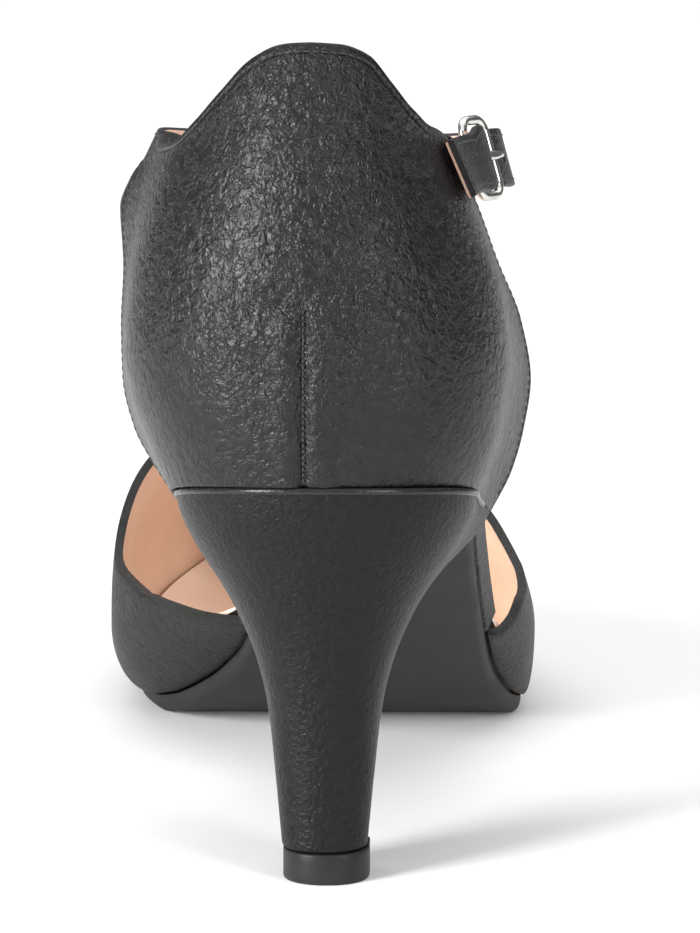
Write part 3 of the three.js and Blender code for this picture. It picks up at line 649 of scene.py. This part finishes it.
def cut_edge(name):
    """The cut end of the strap: black outside, the lining's fibres inside."""
    finish = Finish(name, Specular_IOR_Level=0.3)
    fibres = finish.noise(5.0, 4.0, 0.4, finish.stretched(1.0, 1.0, 2.5))
    layers = finish.noise(1.1, 2.0)
    tone = finish.ramp(fibres * 0.6 + layers * 0.5, 0.3, 0.8)
    shade = finish.tint(tone, (0.42, 0.24, 0.18), (0.72, 0.48, 0.38))
    outer = finish.ramp(finish.attribute("layer_mm") + fibres * 0.2, -0.3, -0.15)
    shade = finish.tint(outer, shade, (0.02, 0.018, 0.018))
    return finish.surface(shade, finish.ramp(fibres, 0.2, 0.8, 0.7, 0.88), fibres * 0.08)


UPPER_DARK, UPPER_LIGHT = (0.005, 0.0045, 0.0053), (0.0125, 0.0114, 0.013)
counter_leather = leather(
    "counter leather", UPPER_DARK, UPPER_LIGHT, 1.3, 1.0, 0.33, stitched=True, seamed=True, taut_below=96,
)
vamp_leather = leather(
    "vamp leather", (0.0105, 0.0106, 0.0096), (0.02, 0.0204, 0.0186), 1.0, 0.4, 0.46, folded=True, gloss=0.22,
)
strap_leather = leather("strap leather", UPPER_DARK, UPPER_LIGHT, 0.75, 0.35, 0.42)
heel_leather = leather(
    "heel cover", (0.005, 0.0046, 0.0053), (0.010, 0.0092, 0.0104), 0.7, 0.25, 0.38, gloss=0.19,
)
# The seat roll is the heel cover's rolled edge in the same leather, painted lighter than the heel cover: a
# painted highlight along the roll, on top of its real lower roughness.
bead_leather = leather(
    "seat roll", (0.012, 0.011, 0.012), (0.022, 0.021, 0.022), 0.7, 0.0, 0.24, relief=0.35,
)
wall_lining = lining("peach lining", (0.66, 0.45, 0.32), (0.74, 0.52, 0.38), edged=True)
sock_lining = lining("peach sock", (0.92, 0.77, 0.65), (0.96, 0.83, 0.72))
sole_finish = moulded("outsole", (0.014, 0.0138, 0.0138), (0.026, 0.0255, 0.0255), 0.55, 1.0)
lift_finish = moulded("top lift", (0.016, 0.016, 0.016), (0.03, 0.0295, 0.029), 0.4, 0.8)
ring_metal = nickel("polished nickel")
dark_thread = thread("black thread", (0.018, 0.017, 0.018))
raw_edge = cut_edge("raw strap edge")


# Stitches.
def stitch_run(name, places, pitch, long, thick, finish, slot="leather"):
    """Thread stitches laid along places: (point in metres, out direction) pairs, at an even pitch."""
    points = np.array([p for p, _ in places])
    outs = np.array([o for _, o in places])
    run = np.concatenate([[0], np.cumsum(np.linalg.norm(np.diff(points, axis=0), axis=1))])
    count = int(run[-1] / (pitch * MM))
    start_fresh()
    bpy.ops.mesh.primitive_uv_sphere_add(segments=6, ring_count=4, radius=1)
    seed = bpy.context.object
    coords = np.array([v.co for v in seed.data.vertices])
    faces = [tuple(p.vertices) for p in seed.data.polygons]
    bpy.data.objects.remove(seed)
    corners, polygons = [], []
    for k in range(count):
        at = (k + 0.5) * pitch * MM
        here = np.array([np.interp(at, run, points[:, i]) for i in range(3)])
        ahead = np.array([np.interp(min(at + 0.3 * MM, run[-1]), run, points[:, i]) for i in range(3)])
        behind = np.array([np.interp(max(at - 0.3 * MM, 0), run, points[:, i]) for i in range(3)])
        out = np.array([np.interp(at, run, outs[:, i]) for i in range(3)])
        along = ahead - behind
        along /= np.linalg.norm(along)
        out -= along * out.dot(along)
        out /= np.linalg.norm(out)
        side = np.cross(out, along)
        first = len(corners)
        for x, y, z in coords:
            offset = side * x * thick / 2 + out * y * thick / 2 * 0.8 + along * z * long / 2
            corners.append(here + offset * MM)
        polygons += [tuple(first + i for i in face) for face in faces]
    mesh = bpy.data.meshes.new(name)
    mesh.from_pydata([tuple(c) for c in corners], [], polygons)
    piece = bpy.data.objects.new(name, mesh)
    scene.collection.objects.link(piece)
    edit(piece, lambda: bpy.ops.mesh.normals_make_consistent(inside=False))
    soften(piece, 180)
    return dress(piece, slot, [finish])


def edge_line(at, params, inset):
    """Points a little way in from a sheet's edge: params gives (u, v) along it and the way in."""
    places = []
    for (u, v), (du, dv) in params:
        point = metres(at(u, v))
        inward = metres(at(u + du, v + dv)) - point
        ahead = metres(at(u + 0.001 if u < 0.999 else u - 0.001, v)) - point
        ahead = ahead if u < 0.999 else -ahead
        upward = metres(at(u, v + 0.001 if v < 0.999 else v - 0.001)) - point
        upward = upward if v < 0.999 else -upward
        out = ahead.cross(upward).normalized()
        places.append((point + inward.normalized() * inset * MM, out))
    return places


# Quarter: one shell round the heel, with turned edges and a lining.
ACROSS, UP = 210, 84
quarter_rows = [[quarter_at(i / ACROSS, j / UP) for i in range(ACROSS + 1)] for j in range(UP + 1)]
quarter = net("quarter_shell", quarter_rows)
top_line = [quarter_at(u, 1) for u in steps(700)]
front_lines = [quarter_at(u, v) for u in (0, 1) for v in steps(260)]
mark(quarter, "edge_mm", distance_mm(quarter, top_line + front_lines))
seam_line = [
    (DART_X, quarter_back(h) - 0.3, bottom(quarter_back(h)) + h) for h in np.linspace(0, DART_TOP, 120)
]
mark(quarter, "seam_mm", distance_mm(quarter, seam_line))
dress(quarter, "leather", [counter_leather, wall_lining], "quarter")
thicken(quarter, QUARTER_WALL)
round_edges(quarter, 0.5, 3, 55)
soften(quarter, 60)

turned = [((0.0, v), (0.004, 0)) for v in steps(200)[6:-4]]
turned += [((u, 1.0), (0, -0.01)) for u in steps(500)[5:-5]]
turned += [((1.0, v), (-0.004, 0)) for v in steps(200)[-5:6:-1]]
stitch_run("quarter_stitches", edge_line(quarter_at, turned, 1.55), 1.55, 1.25, 0.42, dark_thread)

seam_places = []
for h in np.linspace(0.8, DART_TOP - 1.5, 60):
    back = quarter_back(h)
    seam_places.append((metres((DART_X, back + 0.3, bottom(back) + h)), Vector((0, -1, 0))))
stitch_run("back_seam_stitches", seam_places, 1.05, 0.8, 0.5, dark_thread)

# Vamp: one shell over the forefoot.
VAMP_ACROSS, VAMP_ALONG = 150, 110
vamp_rows = [
    [vamp_at(i / VAMP_ACROSS, j / VAMP_ALONG) for i in range(VAMP_ACROSS + 1)] for j in range(VAMP_ALONG + 1)
]
vamp = net("vamp_shell", vamp_rows)
mark(vamp, "edge_mm", distance_mm(vamp, [vamp_at(u, 0) for u in steps(700)]))
weld(vamp)
dress(vamp, "leather", [vamp_leather, wall_lining], "vamp")
thicken(vamp, VAMP_WALL)
round_edges(vamp, 0.7, 4, 60)
soften(vamp, 60)

# Insole board with its covered edge, and the sock on it.
def sole_stations(first, last, extra=()):
    places = {first, last, *extra}
    places |= {y for y in np.linspace(first, last, 130)}
    places |= {LENGTH - TOE_RADIUS * (1 - math.sin(t * math.pi / 2)) for t in steps(8)}
    return sorted(y for y in places if first <= y <= last)


insole_start = quarter_back(0) + QUARTER_WALL + GAP
breaks = [quarter_front["medial"](INSOLE) + GAP - 0.02, quarter_front["medial"](INSOLE) + GAP]
for side_end in (VAMP_TOP[-1][1], VAMP_TOP[-1][2]):
    breaks += [side_end - GAP, side_end - GAP + 0.02]
heel_places = [mix(insole_start, 50, 1 - math.cos(t * math.pi / 2)) for t in steps(24)]


def board_loop(y, low, high, inset=0.0, crown=0.0, dish=0.0):
    def edge(side, h):
        return max(insole_reach(side, y, h) - inset, 0.05 if inset else -99)

    lower = [(mix(-edge("medial", low), edge("lateral", low), t), low) for t in steps(10)]
    upper = [(mix(edge("lateral", high), -edge("medial", high), t),
              high + crown * math.sin(t * math.pi) + dish * (2 * t - 1) ** 4) for t in steps(20)]
    return [(x, y, bottom(y) + h) for x, h in lower + upper]


board_ys = sole_stations(insole_start, INSOLE_END, breaks + heel_places)
board = loft("insole_board", [board_loop(y, 0, INSOLE - SOCK) for y in board_ys])
round_edges(board, 0.6, 3, 50)
soften(board, 50)
dress(board, "leather", [strap_leather], "insole")


def sock_dish(y):
    """How far the sock turns up where it meets the vamp's walls."""
    return 2.6 * ease(104, 124, y) * ease(236, 215, y)


sock_ys = sole_stations(insole_start + 0.8, INSOLE_END - 1, heel_places)
sock = loft("sock", [board_loop(y, INSOLE - SOCK, INSOLE - 0.05, 0.35, 0.25, sock_dish(y)) for y in sock_ys])
round_edges(sock, 0.4, 3, 50)
soften(sock, 50)
dress(sock, "sock", [sock_lining])


# Outsole.
def outsole_loop(y):
    def edge(side, inset):
        reach = sole[side](y) - SOLE_INSET
        return reach - min(inset, 0.4 * reach)

    top = bottom(y) - GAP
    low = max(0, top - sole_thickness(y))
    toe, centre = toe_share(y, SOLE_INSET), middle_at(y)
    rise = 0.8 * (top - low)

    def rounded(side, t):
        inset, up = 1 - math.sin(t * math.pi / 2), 1 - math.cos(t * math.pi / 2)
        return SIGN[side] * edge(side, SOLE_ROUND * inset), low + rise * up

    across = [(mix(-edge("medial", SOLE_ROUND), edge("lateral", SOLE_ROUND), t), low) for t in steps(16)]
    side_up = [rounded("lateral", t) for t in steps(6)[1:]]
    over = [(mix(edge("lateral", 0), -edge("medial", 0), t), top) for t in steps(16)]
    side_down = [rounded("medial", 1 - t) for t in steps(6)[:-1]]
    return [(mix(centre, x, toe), y, z) for x, z in across + side_up + over + side_down]


outsole_ys = sole_stations(50 + GAP, LENGTH - SOLE_INSET)
outsole = loft("outsole_shell", [outsole_loop(y) for y in outsole_ys])
round_edges(outsole, 0.3, 2, 55)
soften(outsole, 40)
dress(outsole, "sole", [sole_finish], "outsole")

# Covered heel, its rolled seat edge and the top lift.
heel_drops = sorted({*steps(64), 0.012, 0.024})
heel_loops = [
    [(x, y, mix(bottom(y) - GAP, LIFT + GAP, drop)) for x, y in heel_loop(drop)] for drop in heel_drops
]
heel = loft("heel_block", heel_loops)
round_edges(heel, 0.45, 3, 45)
soften(heel, 45)
dress(heel, "heel_cover", [heel_leather], "heel")


def tube(name, line, outward, radius, sides=14):
    """A thin roll along a line of points, where outward gives the direction out at each."""
    rows = []
    for k, here in enumerate(line):
        along = (line[min(k + 1, len(line) - 1)] - line[max(k - 1, 0)]).normalized()
        out = (outward[k] - along * outward[k].dot(along)).normalized()
        up = along.cross(out)
        turns = [2 * math.pi * i / sides for i in range(sides)]
        rows.append([tuple(here + out * radius * math.cos(a) + up * radius * math.sin(a)) for a in turns])
    return loft(name, rows)


seat = [(x, y) for x, y in heel_loop(0, -0.15, arc_steps=60) if y < 49.4][:-11]
seat_line = [Vector((x, y, bottom(y) - GAP - 0.2)) for x, y in seat]
seat_out = [Vector((x - HEEL_AXIS_TOP, min(y - 30, 0), 0)).normalized() for x, y in seat]
roll = tube("seat_roll", seat_line, seat_out, 0.62)
soften(roll, 80)
dress(roll, "heel_cover", [bead_leather])

lift_loop = [(x + 0.3, y) for x, y in heel_loop(1, 0.1)]
lift = loft("top_lift_block", [[(x, y, z) for x, y in lift_loop] for z in (0, 1.8, 3.6, LIFT)])
round_edges(lift, 0.35, 3, 45)
soften(lift, 45)
dress(lift, "lift", [lift_finish], "top_lift")


# Strips that follow a route: strap, chape and prong.
RING_TURN, RING_PITCH = math.radians(27), math.radians(5.5)
ring_centre = Vector((29.05, 60.4, 119.2))
ring_forward = Vector((
    math.sin(RING_TURN) * math.cos(RING_PITCH),
    math.cos(RING_TURN) * math.cos(RING_PITCH),
    -math.sin(RING_PITCH),
))
ring_outward = Vector((ring_forward.y, -ring_forward.x, 0)).normalized()


def across_strip(along, outward, lean):
    """The way across a strip: up, leaned over the foot by degrees, square to its length."""
    up = Vector((0, 0, math.cos(math.radians(lean)))) - outward * math.sin(math.radians(lean))
    return (up - along * up.dot(along)).normalized()


def in_ring(p, n, lean):
    """A place in the ring's own frame, and the way across the strip there."""
    across = across_strip(ring_forward, ring_outward, lean)
    return ring_centre + ring_forward * p + ring_forward.cross(across) * n, across


def in_loop(x, y, z, lean):
    """A place in the pattern, and the way across the strip there."""
    out = Vector((x, max(0, y - 66), 0)).normalized()
    lean = math.radians(lean)
    return Vector((x, y, z)), Vector((0, 0, math.cos(lean))) - out * math.sin(lean)


def curve_through(points, fineness=24):
    """A centripetal curve through points, finely sampled."""
    ends = [points[0] * 2 - points[1], *points, points[-1] * 2 - points[-2]]
    samples = []
    for i in range(len(points) - 1):
        a, b, c, d = ends[i:i + 4]
        k0, k1, k2 = (max((q - p).length, 1e-6) ** 0.5 for p, q in ((a, b), (b, c), (c, d)))
        t1 = ((b - a) / k0 - (c - a) / (k0 + k1) + (c - b) / k1) * k1
        t2 = ((c - b) / k1 - (d - b) / (k1 + k2) + (d - c) / k2) * k1
        for j in range(fineness + (i == len(points) - 2)):
            t = j / fineness
            square, cube = c * 3 - b * 3 - t1 * 2 - t2, b * 2 - c * 2 + t1 + t2
            samples.append(b + t1 * t + square * t ** 2 + cube * t ** 3)
    return samples


def strip_frames(route, count):
    """Even steps along a route: place, along, across and out at each."""
    centre = curve_through([place for place, _ in route])
    lean = curve_through([across for _, across in route])
    run = np.concatenate([[0], np.cumsum([(q - p).length for p, q in zip(centre, centre[1:])])])

    def read(samples, where):
        return Vector([float(np.interp(where, run, [s[i] for s in samples])) for i in range(3)])

    frames = []
    for t in steps(count):
        at = t * run[-1]
        along = (read(centre, min(at + 0.15, run[-1])) - read(centre, max(at - 0.15, 0))).normalized()
        across = read(lean, at)
        across = (across - along * across.dot(along)).normalized()
        frames.append((read(centre, at), along, across, across.cross(along)))
    return frames


def section(width, thickness, corner, face=6, bend=3):
    """A rounded rectangle: across and out, starting on the outer face."""
    w, t = width / 2 - corner, thickness / 2 - corner
    loop = []
    for a, b, start in ((1, 1, 90), (1, -1, 0), (-1, -1, -90), (-1, 1, 180)):
        for k in range(bend + 1):
            angle = math.radians(start - 90 * k / bend)
            loop.append((a * w + corner * math.cos(angle), b * t + corner * math.sin(angle)))
    full = []
    for (x0, y0), (x1, y1) in zip(loop, loop[1:] + loop[:1]):
        full.append((x0, y0))
        if math.hypot(x1 - x0, y1 - y0) > width / 3:
            full += [(mix(x0, x1, k / face), mix(y0, y1, k / face)) for k in range(1, face)]
    return full


def strip(name, frames, profile, taper=None):
    """A solid that carries a profile along frames."""
    loops = []
    for k, (place, along, across, out) in enumerate(frames):
        grow = taper(k / (len(frames) - 1)) if taper else 1
        loops.append([tuple(place + across * a * grow + out * b) for a, b in profile])
    return loft(name, loops)


def paint_faces(piece, choose):
    """Sets each face's finish by its centre and normal."""
    for face in piece.data.polygons:
        face.material_index = choose(face.center, face.normal)


strap_route = [in_loop(*row) for row in STRAP_FRONT] + [in_ring(*row) for row in STRAP_THROUGH]
strap_route += [in_loop(*row) for row in STRAP_END]
strap_frames = strip_frames(strap_route, 260)
strap = strip("instep_strap_band", strap_frames, section(STRAP_WIDTH, STRAP_THICKNESS, 0.45))
strap_points = np.array([metres(place) for place, *_ in strap_frames])
strap_outs = np.array([out for *_, out in strap_frames])
strap_alongs = np.array([along for _, along, *_ in strap_frames])


def strap_face(centre, normal):
    """Leather outside, lining inside, raw edge at the two ends."""
    k = int(((strap_points - np.array(centre)) ** 2).sum(axis=1).argmin())
    if abs(np.dot(strap_alongs[k], normal)) > 0.8 and k in (0, len(strap_points) - 1):
        return 2
    return 1 if np.dot(strap_outs[k], normal) < -0.6 else 0


def layer_at(place):
    """How far out of the strap's middle layer a point lies, in millimetres."""
    k = int(((strap_points - np.array(place)) ** 2).sum(axis=1).argmin())
    return float(np.dot(np.array(place) - strap_points[k], strap_outs[k])) / MM


def punch(piece, places, radius):
    """Round holes right through a strip."""
    start_fresh()
    drills = []
    for place, out in places:
        bpy.ops.mesh.primitive_cylinder_add(vertices=20, radius=radius * MM, depth=6 * MM, location=place)
        drill = bpy.context.object
        drill.rotation_euler = Vector(out).to_track_quat("Z", "Y").to_euler()
        drills.append(drill)
    for drill in drills:
        finish_with(piece, "BOOLEAN", operation="DIFFERENCE", object=drill, solver="EXACT")
        bpy.data.objects.remove(drill)


def strap_index(ring_p):
    """The strap's step nearest to a place forward of the ring's centre."""
    target = np.array(metres(in_ring(ring_p, 0, 18)[0]))
    return int(((strap_points - target) ** 2).sum(axis=1).argmin())


hole_at = [strap_index(p) for p in (14, 7.5, 0.2)]
punch(strap, [(Vector(strap_points[k]), strap_outs[k]) for k in hole_at], 0.95)
strap.data.materials.clear()
paint_faces(strap, strap_face)
mark(strap, "layer_mm", [layer_at(vertex.co) for vertex in strap.data.vertices])
soften(strap, 50)
dress(strap, "leather", [strap_leather, wall_lining, raw_edge], "instep_strap")
for name, side in (("upper", 1), ("lower", -1)):
    line = [
        (metres(place + across * side * 4.0 + out * 0.76), out)
        for place, along, across, out in strap_frames[3:-5]
    ]
    stitch_run(f"strap_stitches_{name}", line, 1.5, 1.2, 0.4, dark_thread)
place, along, across, out = strap_frames[-6]
end_row = [(metres(place + across * mix(-4.0, 4.0, t) + out * 0.76), out) for t in steps(12)]
stitch_run("strap_end_stitches", end_row, 1.35, 1.05, 0.4, dark_thread)

chape_route = [in_loop(*row) for row in CHAPE_OUTSIDE] + [in_ring(*row) for row in CHAPE_ROUND_BAR]
chape_frames = strip_frames(chape_route + [in_loop(*row) for row in CHAPE_INSIDE], 90)
chape = strip("chape_fold", chape_frames, section(CHAPE_WIDTH, CHAPE_THICKNESS, 0.3))
slot_place, slot_across = in_ring(-1.9, 0.2, RING_LEAN)
start_fresh()
bpy.ops.mesh.primitive_cube_add(size=1)
slot_cut = bpy.context.object
slot_axes = Matrix((slot_across, ring_forward, ring_forward.cross(slot_across))).transposed().to_4x4()
slot_size = Matrix.Diagonal((2.7 * MM, 9 * MM, 5.6 * MM, 1))
slot_cut.matrix_world = Matrix.Translation(metres(slot_place)) @ slot_axes @ slot_size
bpy.context.view_layer.update()
finish_with(chape, "BOOLEAN", operation="DIFFERENCE", object=slot_cut, solver="EXACT")
bpy.data.objects.remove(slot_cut)
soften(chape, 50)
dress(chape, "leather", [strap_leather], "chape")

prong_frames = strip_frames([in_ring(*row) for row in PRONG], 60)
prong_section = section(PRONG_WIDTH, PRONG_THICKNESS, 0.4, face=2)
prong = strip("buckle_prong_pin", prong_frames, prong_section, taper=lambda t: 1 - 0.45 * ease(0.75, 1, t))
soften(prong, 60)
dress(prong, "metal", [ring_metal], "buckle_prong")

# Ring: a round wire bent to a rounded rectangle, a little flattened.
ring_across = across_strip(ring_forward, ring_outward, RING_LEAN)
ring_out = ring_forward.cross(ring_across)
ring_path = []
for turn, (a, b) in enumerate([(1, 1), (-1, 1), (-1, -1), (1, -1)]):
    for t in steps(14):
        angle = (turn + t) * math.pi / 2
        along_ring = a * (RING_HALF_LENGTH - RING_CORNER) + RING_CORNER * math.cos(angle)
        across_ring = b * (RING_HALF_HEIGHT - RING_CORNER) + RING_CORNER * math.sin(angle)
        ring_path.append((along_ring, across_ring, angle))
ring_rows = []
for p, w, angle in ring_path + ring_path[:1]:
    row = []
    for k in range(20):
        turn = k / 20 * 2 * math.pi
        reach, rise = RING_WIRE * math.cos(turn), RING_WIRE_FLAT * math.sin(turn)
        row.append(tuple(
            ring_centre + ring_forward * (p + reach * math.cos(angle))
            + ring_across * (w + reach * math.sin(angle)) + ring_out * rise
        ))
    ring_rows.append(row)
ring = net("buckle_ring_wire", ring_rows, wrap=True)
edit(
    ring, lambda: bpy.ops.mesh.remove_doubles(threshold=1e-7),
    lambda: bpy.ops.mesh.normals_make_consistent(inside=False),
)
soften(ring, 180)
dress(ring, "metal", [ring_metal], "buckle_ring")

# Floor and light.
start_fresh()
bpy.ops.mesh.primitive_plane_add(size=12)
floor = bpy.context.object
floor.name = "studio_floor"
floor_finish = Finish("pale floor", Specular_IOR_Level=0.2)
floor.data.materials.append(floor_finish.surface(
    floor_finish.tint(floor_finish.noise(0.004, 2.0), (0.94, 0.94, 0.94), (0.96, 0.96, 0.96)),
    floor_finish.ramp(floor_finish.noise(0.02, 2.0), 0.2, 0.8, 0.6, 0.7),
))


def softbox(name, turn, rise, distance, width, height, power, aim=(0.0, -0.08, 0.08)):
    """A rectangular light: degrees, then metres, then watts."""
    back = direction(turn, rise)
    bpy.ops.object.light_add(type="AREA", location=Vector(aim) + back * distance)
    light = bpy.context.object
    light.name = name
    light.rotation_euler = (-back).to_track_quat("-Z", "Y").to_euler()
    light.data.shape = "RECTANGLE"
    light.data.size, light.data.size_y = width, height
    light.data.energy = power


softbox("left softbox", -50, 16, 1.4, 0.4, 0.9, 34)
softbox("right softbox", 42, 20, 1.5, 0.4, 0.8, 11)
softbox("top softbox", 0, 84, 1.5, 2.2, 2.2, 16)
softbox("backdrop light", 0, 90, 1.6, 4.0, 3.0, 40, aim=(0.0, 1.7, 0.0))

world = bpy.data.worlds.new("studio")
scene.world = world
world.use_nodes = True
world.node_tree.nodes["Background"].inputs["Color"].default_value = (1, 1, 1, 1)
world.node_tree.nodes["Background"].inputs["Strength"].default_value = 0.14
scene.view_settings.view_transform = "Standard"
scene.view_settings.look = "None"
